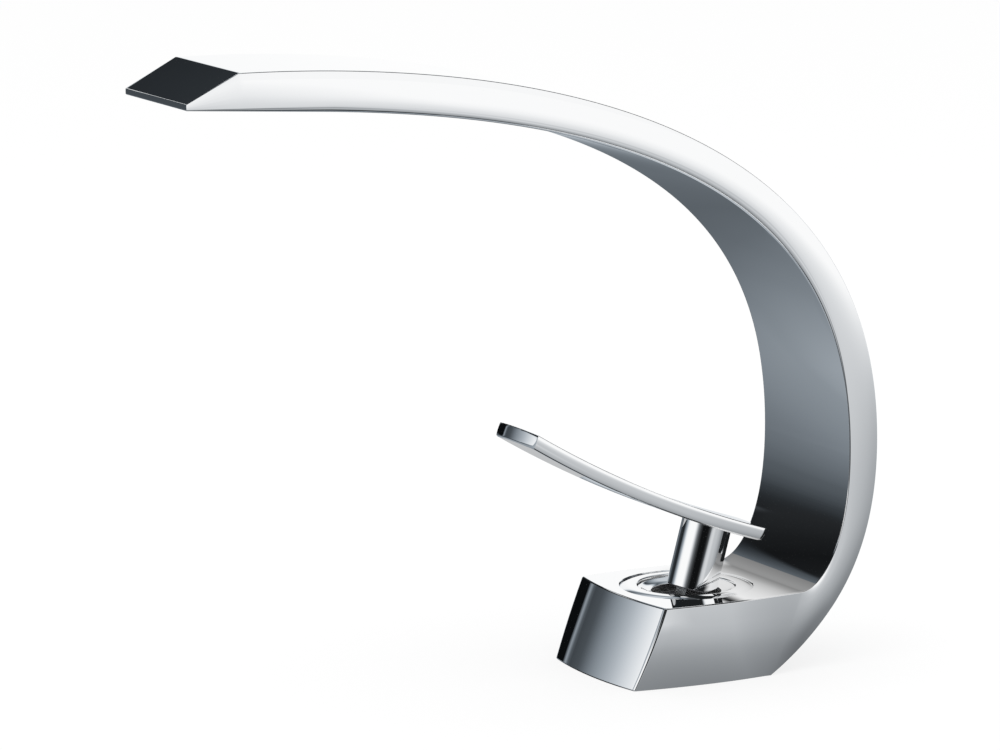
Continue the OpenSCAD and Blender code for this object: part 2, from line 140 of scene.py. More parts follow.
# Rings on the block
CART_Y = 8.8
RING_R = 20.6
RING_STEP = 16.9
RING_BORE = 15.2
RING_TOP = 25.1
RING_SEAT = 23.3
CLAMP_TOP = 22.6
CLAMP_R = 18.0
DISH_BORE = 10.8
FIT_GAP = 0.2
RING_SEGMENTS = 192

# Lever
PIVOT_Z = 17.0
LEAN = math.radians(15.3)
POST_R = 7.8
POST_FOOT = 6.8
POST_CHAMFER = 0.35
POST_OVERLAP = 0.2
POST_SEGMENTS = 128
POST_LEVELS = 12
POCKET_W = 6.2
POCKET_LEN = 7.2
SPINDLE_TOP = 18.5
GRUB_H = 12.6
GRUB_R = 2.55
BLADE_RISE = 31.3
BLADE_T = 4.3
BLADE_R = 378.0
BLADE_LOW_Y = 31.2
BLADE_FRONT = 74.6
BLADE_BACK = 15.8
BLADE_FRONT_W = 24.4
BLADE_BACK_W = 21.0
BLADE_CORNER = 2.0
BLADE_NOSE = 60.0
BLADE_END_DRAFT = 0.45
BLADE_TAIL_DRAFT = 1.1
BLADE_EDGES = (0.5, 0.25)
BLADE_EDGE_STEPS = (6, 8, 4)
BLADE_LOW_CROWN = 0.42
BLADE_TOP_CROWN = 0.18
BLADE_COLUMNS = 40
BLADE_LENGTHS = 80


# Materials

def feed(tree, socket, value):
    """Sets a socket to a number, or links it to another node."""
    if isinstance(value, (int, float)):
        socket.default_value = value
    else:
        tree.links.new(value, socket)


def math_node(tree, operation, a, b, clamp=False):
    node = tree.nodes.new("ShaderNodeMath")
    node.operation = operation
    node.use_clamp = clamp
    feed(tree, node.inputs[0], a)
    feed(tree, node.inputs[1], b)
    return node.outputs[0]


def plus(tree, a, b):
    return math_node(tree, "ADD", a, b)


def minus(tree, a, b):
    return math_node(tree, "SUBTRACT", a, b)


def times(tree, a, b):
    return math_node(tree, "MULTIPLY", a, b)


def wander(tree, base, pattern, amount):
    """The base value, moved a little both ways by a pattern that runs from 0 to 1."""
    return plus(tree, base, times(tree, minus(tree, pattern, 0.5), amount))


def ramp(tree, factor, stops):
    """Grey values, or colours of three parts, between places from 0 to 1."""
    node = tree.nodes.new("ShaderNodeValToRGB")
    elements = node.color_ramp.elements
    while len(elements) > 1:
        elements.remove(elements[-1])
    for i, (place, value) in enumerate(stops):
        element = elements[0] if i == 0 else elements.new(place)
        element.position = place
        shade = value if isinstance(value, tuple) else (value, value, value)
        element.color = (*shade, 1.0)
    tree.links.new(factor, node.inputs[0])
    return node.outputs[0]


def own_place(tree):
    return tree.nodes.new("ShaderNodeTexCoord").outputs["Object"]


def noise(tree, place, detail):
    node = tree.nodes.new("ShaderNodeTexNoise")
    node.inputs["Detail"].default_value = detail
    tree.links.new(place, node.inputs["Vector"])
    return node


def new_group(name, inputs, outputs):
    """A group with its inputs as (label, kind, value); outputs other than Color are values."""
    group = bpy.data.node_groups.new(name, "ShaderNodeTree")
    for label, kind, value in inputs:
        socket = group.interface.new_socket(label, in_out="INPUT", socket_type="NodeSocket" + kind)
        socket.default_value = value
    for label in outputs:
        kind = "Color" if label == "Color" else "Float"
        group.interface.new_socket(label, in_out="OUTPUT", socket_type="NodeSocket" + kind)
    given = group.nodes.new("NodeGroupInput").outputs
    return group, given, group.nodes.new("NodeGroupOutput").inputs


def polish_group():
    """Fine polishing haze: roughness that drifts a little, and a faint ripple for the bump."""
    group, given, result = new_group("polish", (
        ("Roughness", "Float", 0.03), ("Haze", "Float", 0.01), ("Scale", "Float", 220.0)),
        ("Roughness", "Height"))
    place = own_place(group)
    cloud = noise(group, place, 3.0)
    group.links.new(given["Scale"], cloud.inputs["Scale"])
    rough = wander(group, given["Roughness"], cloud.outputs["Fac"], given["Haze"])
    group.links.new(rough, result["Roughness"])
    ripple = noise(group, place, 1.0)
    ripple.inputs["Scale"].default_value = 60.0
    group.links.new(ripple.outputs["Fac"], result["Height"])
    return group


def grain_group():
    """Fine moulded grain for rubber and plastic, with a little colour drift."""
    group, given, result = new_group("moulded_grain", (
        ("Color", "Color", (0.5, 0.5, 0.5, 1)), ("Drift", "Float", 0.1),
        ("Roughness", "Float", 0.5), ("Scale", "Float", 900.0)),
        ("Color", "Roughness", "Height"))
    grain = noise(group, own_place(group), 4.0)
    group.links.new(given["Scale"], grain.inputs["Scale"])
    pattern = grain.outputs["Fac"]
    shade = group.nodes.new("ShaderNodeHueSaturation")
    group.links.new(given["Color"], shade.inputs["Color"])
    group.links.new(wander(group, 1.0, pattern, given["Drift"]), shade.inputs["Value"])
    group.links.new(shade.outputs["Color"], result["Color"])
    group.links.new(wander(group, given["Roughness"], pattern, 0.2), result["Roughness"])
    group.links.new(pattern, result["Height"])
    return group


def turned_group():
    """Rings that a lathe leaves round the cartridge's axis, for the machined brass and steel."""
    group, given, result = new_group("turned_marks", (
        ("Roughness", "Float", 0.3), ("Depth", "Float", 0.1), ("Scale", "Float", 1500.0)),
        ("Roughness", "Height"))
    rings = group.nodes.new("ShaderNodeTexWave")
    rings.wave_type = "RINGS"
    rings.rings_direction = "Z"
    rings.inputs["Distortion"].default_value = 0.6
    shift = group.nodes.new("ShaderNodeMapping")
    shift.inputs["Location"].default_value = (0, -CART_Y * MM, 0)
    group.links.new(own_place(group), shift.inputs["Vector"])
    group.links.new(shift.outputs["Vector"], rings.inputs["Vector"])
    group.links.new(given["Scale"], rings.inputs["Scale"])
    rough = wander(group, given["Roughness"], rings.outputs["Fac"], given["Depth"])
    group.links.new(rough, result["Roughness"])
    group.links.new(rings.outputs["Fac"], result["Height"])
    return group


POLISH = polish_group()
GRAIN = grain_group()
TURNED = turned_group()


def surface_of(name, group, settings):
    """A material with a group in it that drives the roughness; gives its tree, shader and group."""
    material = bpy.data.materials.new(name)
    material.use_nodes = True
    tree = material.node_tree
    bsdf = tree.nodes["Principled BSDF"]
    node = tree.nodes.new("ShaderNodeGroup")
    node.node_tree = group
    for label, value in settings.items():
        node.inputs[label].default_value = value
    tree.links.new(node.outputs["Roughness"], bsdf.inputs["Roughness"])
    return material, tree, bsdf, node


def bump_into(tree, bsdf, height, strength, distance):
    bump = tree.nodes.new("ShaderNodeBump")
    bump.inputs["Strength"].default_value = strength
    bump.inputs["Distance"].default_value = distance
    tree.links.new(height, bump.inputs["Height"])
    tree.links.new(bump.outputs["Normal"], bsdf.inputs["Normal"])


def metal(name, tint, group, settings, strength, distance):
    material, tree, bsdf, node = surface_of(name, group, settings)
    bsdf.inputs["Base Color"].default_value = (*tint, 1)
    bsdf.inputs["Metallic"].default_value = 1.0
    bump_into(tree, bsdf, node.outputs["Height"], strength, distance)
    return material


def chrome(name, tint, roughness, haze, scale=220.0):
    settings = {"Roughness": roughness, "Haze": haze, "Scale": scale}
    return metal(name, tint, POLISH, settings, 0.004, 0.001)


def turned(name, tint, roughness):
    return metal(name, tint, TURNED, {"Roughness": roughness, "Depth": 0.12}, 0.12, 0.0001)


def moulded(name, colour, roughness, drift, scale=900.0, strength=0.15):
    material, tree, bsdf, grain = surface_of(name, GRAIN, {
        "Color": (*colour, 1), "Drift": drift, "Roughness": roughness, "Scale": scale})
    tree.links.new(grain.outputs["Color"], bsdf.inputs["Base Color"])
    bump_into(tree, bsdf, grain.outputs["Height"], strength, 0.0002)
    return material


CHROME = chrome("polished_chrome", (0.95, 0.955, 0.96), 0.02, 0.01)
CHROME_LEVER = chrome("lever_chrome", (0.95, 0.955, 0.96), 0.025, 0.01, 260.0)
CHROME_RING = chrome("ring_chrome", (0.94, 0.945, 0.95), 0.025, 0.012, 400.0)
CHROME_OUTLET = chrome("outlet_chrome", (0.86, 0.87, 0.88), 0.08, 0.03, 700.0)
NICKEL = turned("nickel_plate", (0.56, 0.56, 0.555), 0.22)
STEEL = turned("turned_steel", (0.60, 0.60, 0.61), 0.28)
CERAMIC = moulded("lapped_ceramic", (0.86, 0.85, 0.81), 0.22, 0.04, 1600.0, 0.03)
CARTRIDGE = moulded("cartridge_plastic", (0.34, 0.345, 0.35), 0.42, 0.08)
CARRIER = moulded("carrier_plastic", (0.10, 0.10, 0.11), 0.42, 0.08)
RUBBER = moulded("seal_rubber", (0.025, 0.025, 0.027), 0.62, 0.3, 1200.0, 0.25)
INSERT = moulded("outlet_plastic", (0.62, 0.65, 0.67), 0.38, 0.06)


# Curves of the casting, as (y, z) in the side view and (x, y) from above

def bezier(a, b, c, d, steps):
    out = []
    for i in range(steps + 1):
        t = i / steps
        s = 1 - t
        out.append(tuple(s**3 * a[k] + 3 * s * s * t * b[k] + 3 * s * t * t * c[k] + t**3 * d[k]
                         for k in (0, 1)))
    return out


def along(angle, length):
    return (length * math.cos(math.radians(angle)), length * math.sin(math.radians(angle)))


def add(p, q):
    return (p[0] + q[0], p[1] + q[1])


def spread(points, count):
    """The same line with count + 1 points at even distances."""
    total = [0.0]
    for a, b in zip(points, points[1:]):
        total.append(total[-1] + math.dist(a, b))
    out, j = [], 0
    for i in range(count + 1):
        want = total[-1] * i / count
        while j < len(points) - 2 and total[j + 1] < want:
            j += 1
        f = (want - total[j]) / max(total[j + 1] - total[j], 1e-9)
        out.append((points[j][0] + f * (points[j + 1][0] - points[j][0]),
                    points[j][1] + f * (points[j + 1][1] - points[j][1])))
    return out


CREST = (BEVEL_LEN - REACH, CREST_H)
TIP_TOP = (-REACH, CREST_H - BEVEL_DROP)
TIP_UNDER = (-REACH, CREST_H - BEVEL_DROP - TIP_EDGE)
ARCH = (UNDER_LEN - REACH, CREST_H - ARCH_DROP - ARCH_T)
UNDER_SLOPE = math.degrees(math.atan2(ARCH[1] - TIP_UNDER[1], UNDER_LEN))
FOOT = (BASE_LEN / 2, 0.0)
FILLET_END = (FILLET_Y, BASE_H)
OUTER_BACK = (BACK_Y, BACK_Z)
INNER_BACK = (BACK_Y - BACK_T, BACK_Z - INNER_BACK_DROP)

outer_arch = bezier(CREST, add(CREST, (CREST_PULL, 0)), add(OUTER_BACK, (0, OUTER_BACK_PULL)),
                    OUTER_BACK, ARCH_POINTS)
outer_foot = bezier(OUTER_BACK, add(OUTER_BACK, (0, -OUTER_LOW_PULL)),
                    add(FOOT, along(FOOT_ANGLE, FOOT_PULL)), FOOT, FOOT_POINTS)
inner_arch = bezier(ARCH, add(ARCH, along(UNDER_SLOPE, ARCH_PULL)),
                    add(INNER_BACK, (0, INNER_BACK_PULL)), INNER_BACK, ARCH_POINTS)
inner_foot = bezier(INNER_BACK, add(INNER_BACK, (0, -INNER_LOW_PULL)),
                    add(FILLET_END, (FILLET_PULL, 0)), FILLET_END, FOOT_POINTS)

CORNER = (BASE_FRONT_W / 2, -BASE_LEN / 2)
BELLY = (BASE_MID_W / 2, BELLY_Y)
MERGE = (BACK_W / 2, TAPER_END + MERGE_LEN)
block_side = (bezier(CORNER, add(CORNER, along(SIDE_ANGLE, SIDE_PULL)),
                     add(BELLY, (0, -SIDE_PULL)), BELLY, SIDE_POINTS)
              + bezier(BELLY, add(BELLY, (0, SIDE_PULL)),
                       add(MERGE, (0, -SIDE_PULL)), MERGE, SIDE_POINTS)[1:])

CROWN_FALL = FRONT_CROWN * math.cos(FRONT_LEAN)
CROWN_R = (BASE_FRONT_W**2 / 4 + CROWN_FALL**2) / (2 * CROWN_FALL)


def under_at(y):
    """Point on the straight underside behind the tip."""
    return (y, TIP_UNDER[1] + (y + REACH) * math.tan(math.radians(UNDER_SLOPE)))


def spout_half(y):
    """Half the spout's width."""
    if y >= TAPER_END:
        return BACK_W / 2
    share = (TAPER_END - y) / (TAPER_END + REACH)
    return BACK_W / 2 - share * share * (BACK_W - TIP_W) / 2


def block_half(y):
    """Half the block's width."""
    if y >= MERGE[1]:
        return BACK_W / 2
    if y <= CORNER[1]:
        return CORNER[0] + (y - CORNER[1]) / math.tan(math.radians(SIDE_ANGLE))
    lo, hi = 0, len(block_side) - 1
    while hi - lo > 1:
        mid = (lo + hi) // 2
        if block_side[mid][1] <= y:
            lo = mid
        else:
            hi = mid
    a, b = block_side[lo], block_side[hi]
    return a[0] + (b[0] - a[0]) * (y - a[1]) / (b[1] - a[1])


def front_y(x, z):
    """Where the leaning, bulging front face lies."""
    middle = -BASE_LEN / 2 - FRONT_CROWN + z * math.tan(FRONT_LEAN)
    return middle + (CROWN_R - math.sqrt(CROWN_R**2 - x * x)) / math.cos(FRONT_LEAN)


# Meshes

def new_vert(bm, x, y, z):
    return bm.verts.new((x * MM, y * MM, z * MM))


def fill_between(bm, a, b, closed=False):
    """Four-sided faces between two rows of vertices, which may be loops."""
    for k in range(len(a) if closed else len(a) - 1):
        n = (k + 1) % len(a)
        bm.faces.new((a[k], a[n], b[n], b[k]))


def new_object(name, bm, at=None):
    mesh = bpy.data.meshes.new(name)
    bm.to_mesh(mesh)
    bm.free()
    if at is not None:
        mesh.transform(at)
    piece = bpy.data.objects.new(name, mesh)
    bpy.context.scene.collection.objects.link(piece)
    return piece


def finish_mesh(name, bm, material, body, replaced, sharp=40.0, at=None):
    bmesh.ops.remove_doubles(bm, verts=bm.verts, dist=1e-7)
    bmesh.ops.recalc_face_normals(bm, faces=bm.faces)
    piece = new_object(name, bm, at)
    smooth(piece.data, sharp)
    piece.data.materials.append(material)
    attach(piece, body)
    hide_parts(*replaced)
    return piece


def smooth(mesh, sharp):
    mesh.shade_smooth()
    mesh.set_sharp_from_angle(angle=math.radians(sharp))


def cutter(name, bm, at=None):
    """A throwaway solid for a boolean cut."""
    bmesh.ops.recalc_face_normals(bm, faces=bm.faces)
    return new_object(name, bm, at)


def lathe_mesh(profile, segments=160):
    """A closed (radius, height) outline in millimetres, turned round Z."""
    bm = bmesh.new()
    rings = []
    for r, z in profile:
        rings.append([bm.verts.new((r * MM * math.cos(2 * math.pi * k / segments),
                                    r * MM * math.sin(2 * math.pi * k / segments), z * MM))
                      for k in range(segments)] if r > 1e-6 else [bm.verts.new((0, 0, z * MM))])
    for a, b in zip(rings, rings[1:] + rings[:1]):
        if len(a) == len(b):
            if len(a) > 1:
                fill_between(bm, a, b, closed=True)
            continue
        for k in range(segments):
            n = (k + 1) % segments
            bm.faces.new((a[0], b[n], b[k]) if len(a) == 1 else (a[k], a[n], b[0]))
    return bm


def drum(r, z0, z1, segments=160):
    return lathe_mesh([(0, z0), (r, z0), (r, z1), (0, z1)], segments)


def rounded(points, radii, steps=6):
    """An outline with each of its corners turned into a small arc of its own radius."""
    out, count, longest = [], len(points), 0.45
    for i, (p, r) in enumerate(zip(points, radii)):
        if r <= 0:
            out.append(p)
            continue
        a, b = points[i - 1], points[(i + 1) % count]
        la, lb = math.dist(p, a), math.dist(p, b)
        cut = min(r, la * longest, lb * longest)
        s = (p[0] + (a[0] - p[0]) * cut / la, p[1] + (a[1] - p[1]) * cut / la)
        e = (p[0] + (b[0] - p[0]) * cut / lb, p[1] + (b[1] - p[1]) * cut / lb)
        for k in range(steps + 1):
            t = k / steps
            out.append(tuple((1 - t)**2 * s[j] + 2 * t * (1 - t) * p[j] + t * t * e[j]
                             for j in (0, 1)))
    return out


def round_edges(thick, radii, steps):
    """Way through a wall and inset from its side, with an arc at both of its edges."""
    (low_r, top_r), (low_steps, flat_steps, top_steps) = radii, steps
    shape = []
    for k in range(low_steps + 1):
        a = math.pi / 2 * k / low_steps
        shape.append((low_r * (1 - math.cos(a)), low_r * (1 - math.sin(a))))
    for k in range(1, flat_steps):
        shape.append((low_r + (thick - low_r - top_r) * k / flat_steps, 0.0))
    for k in range(top_steps + 1):
        a = math.pi / 2 * (1 - k / top_steps)
        shape.append((thick - top_r * (1 - math.cos(a)), top_r * (1 - math.sin(a))))
    return shape


def apply_all(piece):
    """Bake the modifiers into the mesh and drop them."""
    graph = bpy.context.evaluated_depsgraph_get()
    baked = bpy.data.meshes.new_from_object(piece.evaluated_get(graph))
    piece.modifiers.clear()
    old = piece.data
    piece.data = baked
    bpy.data.meshes.remove(old)


def carve(piece, tools):
    """Cuts the tools out of the piece, removes them, and rounds the new edges."""
    for tool in tools:
        cut = piece.modifiers.new(tool.name, "BOOLEAN")
        cut.operation = "DIFFERENCE"
        cut.solver = "EXACT"
        cut.object = tool
    bpy.context.view_layer.update()
    apply_all(piece)
    for tool in tools:
        mesh = tool.data
        bpy.data.objects.remove(tool)
        bpy.data.meshes.remove(mesh)
    edge = piece.modifiers.new("edge", "BEVEL")
    edge.width = CUT_EDGE * MM
    edge.segments = 2
    edge.limit_method = "ANGLE"
    edge.angle_limit = math.radians(60)
    edge.miter_outer = "MITER_ARC"
    bpy.context.view_layer.update()
    apply_all(piece)


def even_normals(piece):
    weighted = piece.modifiers.new("even", "WEIGHTED_NORMAL")
    weighted.keep_sharp = True


# Block and spout

def rows():
    """Matching points on the underside line and on the outer line, from the tip to the block."""
    under = [under_at(CREST[0] + (ARCH[0] - CREST[0]) * i / UNDER_STEPS)
             for i in range(UNDER_STEPS + 1)]
    inner = ([TIP_UNDER] + spread(under + inner_arch[1:], ARCH_STEPS)
             + spread(inner_foot, FOOT_STEPS)[1:])
    outer = [TIP_TOP] + spread(outer_arch, ARCH_STEPS) + spread(outer_foot, FOOT_STEPS)[1:]
    high = [True] * (ARCH_STEPS + 2) + [False] * FOOT_STEPS
    return inner, outer, high


def edge_radius(inner_y, inner_z):
    """Rounding of the inner and of the outer long edge, by the place of the inner edge."""
    arch = min(max((inner_z - GAIN_FROM_Z) / GAIN_OVER_Z, 0), 1)
    inner = INNER_EDGE + INNER_EDGE_GAIN * arch
    if inner_y < ARCH[0]:
        inner = UNDER_EDGE + UNDER_EDGE_GAIN * (inner_y + REACH) / UNDER_LEN
    return inner, BEVEL_EDGE if inner_y < BEVEL_LEN - REACH else OUTER_EDGE


def wall_shape(thick, radii):
    """The same for the casting's wall, where an arc never takes up more than its share."""
    return round_edges(thick, [min(r, WIDEST_EDGE * thick) for r in radii],
                       (EDGE_STEPS, FLANK_STEPS, EDGE_STEPS))


def side_column(inner, outer, high, radii):
    """Points down a side wall between two matching points; its middle is a little full."""
    thick = math.dist(inner, outer)
    out = []
    for way, inset in wall_shape(thick, radii):
        s = way / thick
        y = inner[0] + (outer[0] - inner[0]) * s
        z = inner[1] + (outer[1] - inner[1]) * s
        half = spout_half(y) if high else block_half(y)
        out.append((half - inset - SIDE_CROWN * thick * (2 * s - 1)**2, y, z))
    return out


def corner_columns(flank, insets):
    """Points down the upright corner, round from the side wall to the front face."""
    def face(x, n):
        return front_y(x, flank[n][2]) + insets[n]

    flank = [(x, face(x, n) + CORNER_R, z) for n, (x, _, z) in enumerate(flank)]
    columns = [flank]
    for c in range(1, CORNER_STEPS + 1):
        t = c / CORNER_STEPS
        column = []
        for n, (x, y, z) in enumerate(flank):
            far = x - CORNER_R
            column.append(((1 - t)**2 * x + 2 * t * (1 - t) * x + t * t * far,
                           (1 - t)**2 * y + 2 * t * (1 - t) * face(x, n) + t * t * face(far, n), z))
        columns.append(column)
    return columns


def casting_mesh():
    inner, outer, high = rows()
    columns = [side_column(i, o, h, edge_radius(*i)) for i, o, h in zip(inner, outer, high)]
    tip = wall_shape(TIP_EDGE, TIP_EDGES)
    columns[0] = [(x, y + inset, z) for (x, y, z), (_, inset) in zip(columns[0], tip)]
    # along the side of the block, from the fillet to its front corner
    top_end = front_y(BASE_FRONT_W / 2 - CORNER_INSET, BASE_H)
    low_end = front_y(BASE_FRONT_W / 2, 0)
    front_shape = wall_shape(math.dist((top_end, BASE_H), (low_end, 0)), BLOCK_EDGES)
    insets = [inset for _, inset in front_shape]
    for k in range(1, BLOCK_STEPS + 1):
        f = k / BLOCK_STEPS
        top = (FILLET_END[0] + (top_end + CORNER_R - FILLET_END[0]) * f, BASE_H)
        low = (FOOT[0] + (low_end + CORNER_R - FOOT[0]) * f, 0.0)
        columns.append(side_column(top, low, False, BLOCK_EDGES))
    columns[-1:] = corner_columns(columns[-1], insets)
    bm = bmesh.new()
    sides = []
    for sign in (1, -1):
        side = [[new_vert(bm, sign * x, y, z) for x, y, z in column] for column in columns]
        for a, b in zip(side, side[1:]):
            fill_between(bm, a, b)
        sides.append(side)
    right, left = sides
    # the spout's underside and its outer face, straight across
    last = len(inner) - 1
    for i in range(last):
        bm.faces.new((right[i][0], right[i + 1][0], left[i + 1][0], left[i][0]))
        bm.faces.new((right[i][-1], left[i][-1], left[i + 1][-1], right[i + 1][-1]))
    # the thin front edge of the tip
    fill_between(bm, right[0], left[0])
    # the leaning front face, in columns from right to left
    front = [right[-1]]
    for c in range(1, FRONT_STEPS):
        column = []
        for (edge_x, _, z), inset in zip(columns[-1], insets):
            x = edge_x * (1 - 2 * c / FRONT_STEPS)
            column.append(new_vert(bm, x, front_y(x, z) + inset, z))
        front.append(column)
    front.append(left[-1])
    for a, b in zip(front, front[1:]):
        fill_between(bm, a, b)
    # the flat top and the flat foot of the block, one face each
    for k in (0, -1):
        loop = [right[i][k] for i in range(last, len(columns))] + [c[k] for c in front[1:-1]]
        loop += [left[i][k] for i in range(len(columns) - 1, last - 1, -1)]
        bm.faces.new(loop)
    return bm


def at_cartridge():
    return Matrix.Translation((0, CART_Y * MM, 0))


def at_outlet():
    y = OUTLET_INSET - REACH
    return (Matrix.Translation((0, y * MM, under_at(y)[1] * MM))
            @ Matrix.Rotation(math.radians(UNDER_SLOPE), 4, "X"))


def casting():
    """The block and spout with its well, outlet, seal groove and sockets cut in."""
    piece = finish_mesh("casting", casting_mesh(), CHROME, "tap", ("tap_body",))
    # heights past the metal, where the tools begin or end
    below, outside, above = -2, -3, 30
    seat_r = RING_R + FIT_GAP
    well = lathe_mesh([(0, WELL_FLOOR), (WELL_R, WELL_FLOOR), (WELL_R, WELL_TOP), (CLAMP_R, WELL_TOP),
                       (CLAMP_R, RING_SEAT), (seat_r, RING_SEAT), (seat_r, above), (0, above)])
    groove = lathe_mesh([(SEAL_BORE, below), (SEAL_R, below), (SEAL_R, SEAL_DEPTH),
                         (SEAL_BORE, SEAL_DEPTH)])
    tools = [cutter("recess", well, at_cartridge()),
             cutter("outlet", drum(OUTLET_R, outside, OUTLET_DEPTH), at_outlet()),
             cutter("seal_groove", groove, Matrix.Translation((0, SEAL_Y * MM, 0)))]
    for name, r, depth, x, y in (("hot_hole", HOSE_R, HOSE_DEPTH, -HOSE_X, HOSE_Y),
                                 ("cold_hole", HOSE_R, HOSE_DEPTH, HOSE_X, HOSE_Y),
                                 ("stud_hole", STUD_R, STUD_DEPTH, 0, STUD_Y)):
        tools.append(cutter(name, drum(r, below, depth, HOLE_SEGMENTS),
                            Matrix.Translation((x * MM, y * MM, 0))))
    carve(piece, tools)
    smooth(piece.data, 28)
    even_normals(piece)


# Lever

def lever_place():
    return Matrix.Translation((0, CART_Y * MM, PIVOT_Z * MM)) @ Matrix.Rotation(-LEAN, 4, "X")


def sweep_z(y, radius):
    """Height of the blade's long arc, above the pivot."""
    centre = BLADE_RISE + math.sqrt(BLADE_R**2 - BLADE_LOW_Y**2)
    return centre - math.sqrt(radius**2 - (y - BLADE_LOW_Y)**2)


def blade_edge():
    """Height share, inset all round, and further inset along the long sides, of the blade's edge."""
    out = []
    for h, inset in round_edges(BLADE_T, BLADE_EDGES, BLADE_EDGE_STEPS):
        s = 2 * h / BLADE_T - 1
        out.append((h / BLADE_T, inset, (BLADE_LOW_CROWN if s < 0 else BLADE_TOP_CROWN) * s * s))
    return out


def blade_point(u, j, share, inset, side):
    """A point of the blade: u across, j along, a share of its thickness up, drawn in by the inset."""
    x_nose = u * BLADE_FRONT_W / 2
    y_nose = -BLADE_FRONT + BLADE_NOSE - math.sqrt(BLADE_NOSE**2 - x_nose**2)
    y_nose += (share - 0.5) * BLADE_END_DRAFT
    over = max(abs(u) * BLADE_BACK_W / 2 - (BLADE_BACK_W / 2 - BLADE_CORNER), 0)
    y_tail = BLADE_BACK - BLADE_CORNER + math.sqrt(max(BLADE_CORNER**2 - over**2, 0))
    y_tail += (share - 0.5) * BLADE_TAIL_DRAFT
    y = y_nose + (y_tail - y_nose) * (0.5 - 0.5 * math.cos(math.pi * j / BLADE_LENGTHS))
    run = min((y + BLADE_FRONT) / (BLADE_FRONT + BLADE_BACK - BLADE_CORNER), 1)
    half = BLADE_FRONT_W / 2 + (BLADE_BACK_W - BLADE_FRONT_W) / 2 * run
    middle = (BLADE_BACK - BLADE_FRONT) / 2
    reach = (BLADE_BACK + BLADE_FRONT) / 2
    y = middle + (y - middle) * (reach - inset) / reach
    return u * (half - inset - side), y, sweep_z(y, BLADE_R + BLADE_T * (1 - share))


def blade_mesh():
    bm = bmesh.new()
    columns, lengths = BLADE_COLUMNS, BLADE_LENGTHS
    edge = blade_edge()
    across = [math.sin(math.pi / 2 * (2 * i / columns - 1)) for i in range(columns + 1)]
    rim = ([(i, 0) for i in range(columns)] + [(columns, j) for j in range(lengths)]
           + [(i, lengths) for i in range(columns, 0, -1)] + [(0, j) for j in range(lengths, 0, -1)])
    loops = [[new_vert(bm, *blade_point(across[i], j, *place)) for i, j in rim] for place in edge]
    for a, b in zip(loops, loops[1:]):
        fill_between(bm, a, b, closed=True)
    # the underside and the top, each with its own grid
    for loop, place in ((loops[0], edge[0]), (loops[-1], edge[-1])):
        grid = dict(zip(rim, loop))
        for i in range(1, columns):
            for j in range(1, lengths):
                grid[i, j] = new_vert(bm, *blade_point(across[i], j, *place))
        for i in range(columns):
            for j in range(lengths):
                bm.faces.new((grid[i, j], grid[i + 1, j], grid[i + 1, j + 1], grid[i, j + 1]))
    return bm


def blade():
    piece = finish_mesh("blade", blade_mesh(), CHROME_LEVER, "lever", ("lever_blade",), 30,
                        lever_place())
    even_normals(piece)


def post_mesh():
    """A round bar with a small chamfer at its foot; its top follows the blade's underside."""
    bm = bmesh.new()
    turns = [2 * math.pi * k / POST_SEGMENTS for k in range(POST_SEGMENTS)]
    start = POST_FOOT + POST_CHAMFER
    rings = [[bm.verts.new((r * MM * math.sin(a), r * MM * math.cos(a), z * MM)) for a in turns]
             for r, z in ((POST_R - POST_CHAMFER, POST_FOOT), (POST_R, start))]
    for i in range(1, POST_LEVELS + 1):
        ring = []
        for a in turns:
            x, y = POST_R * math.sin(a), POST_R * math.cos(a)
            end = sweep_z(y, BLADE_R + BLADE_T) + POST_OVERLAP
            ring.append(new_vert(bm, x, y, start + (end - start) * i / POST_LEVELS))
        rings.append(ring)
    for a, b in zip(rings, rings[1:]):
        fill_between(bm, a, b, closed=True)
    bm.faces.new(rings[0])
    bm.faces.new(rings[-1])
    return bm


def post():
    """The post with the spindle's pocket and the grub screw's hole in it."""
    piece = finish_mesh("post", post_mesh(), CHROME_LEVER, "lever", ("lever_post",))
    pocket = bmesh.new()
    bmesh.ops.create_cube(pocket, size=1.0)
    bmesh.ops.scale(pocket, verts=pocket.verts,
                    vec=(POCKET_W * MM, POCKET_LEN * MM, 2 * SPINDLE_TOP * MM))
    backward = Matrix.Rotation(math.radians(-90), 4, "X")
    carve(piece, [cutter("pocket", pocket),
                  cutter("grub_hole", drum(GRUB_R, 2.0, 12.0, HOLE_SEGMENTS),
                         Matrix.Translation((0, 0, GRUB_H * MM)) @ backward)])
    piece.data.transform(lever_place())
    smooth(piece.data, 30)
    even_normals(piece)


# Rings

def ring_piece(name, corners, replaced):
    """A ring round the cartridge's axis, from its corners as (radius, height, rounding)."""
    outline = rounded([(r, z) for r, z, _ in corners], [edge for _, _, edge in corners])
    finish_mesh(name, lathe_mesh(outline, RING_SEGMENTS), CHROME_RING, "tap", (replaced,),
                50, at_cartridge())


def cover_ring():
    ring_piece("ring", [
        (RING_BORE, CLAMP_TOP, 0), (RING_STEP, CLAMP_TOP, 0), (RING_STEP, RING_SEAT, 0),
        (RING_R, RING_SEAT, 0.15), (RING_R, RING_TOP - 0.7, 0.2), (RING_R - 2.4, RING_TOP, 1.6),
        (RING_BORE, RING_TOP, 0.5)], "cover_ring")


def dished_cover():
    rim = RING_BORE - FIT_GAP
    rim_top = RING_TOP - 0.8
    ring_piece("dish", [
        (DISH_BORE, CLAMP_TOP, 0), (rim, CLAMP_TOP, 0), (rim, rim_top, 0.2), (rim - 0.7, rim_top, 0.3),
        (rim - 2.2, CLAMP_TOP + 1.0, 1.2), (DISH_BORE, CLAMP_TOP + 0.6, 0.25)], "dished_cover")


casting()
blade()
post()
cover_ring()
dished_cover()

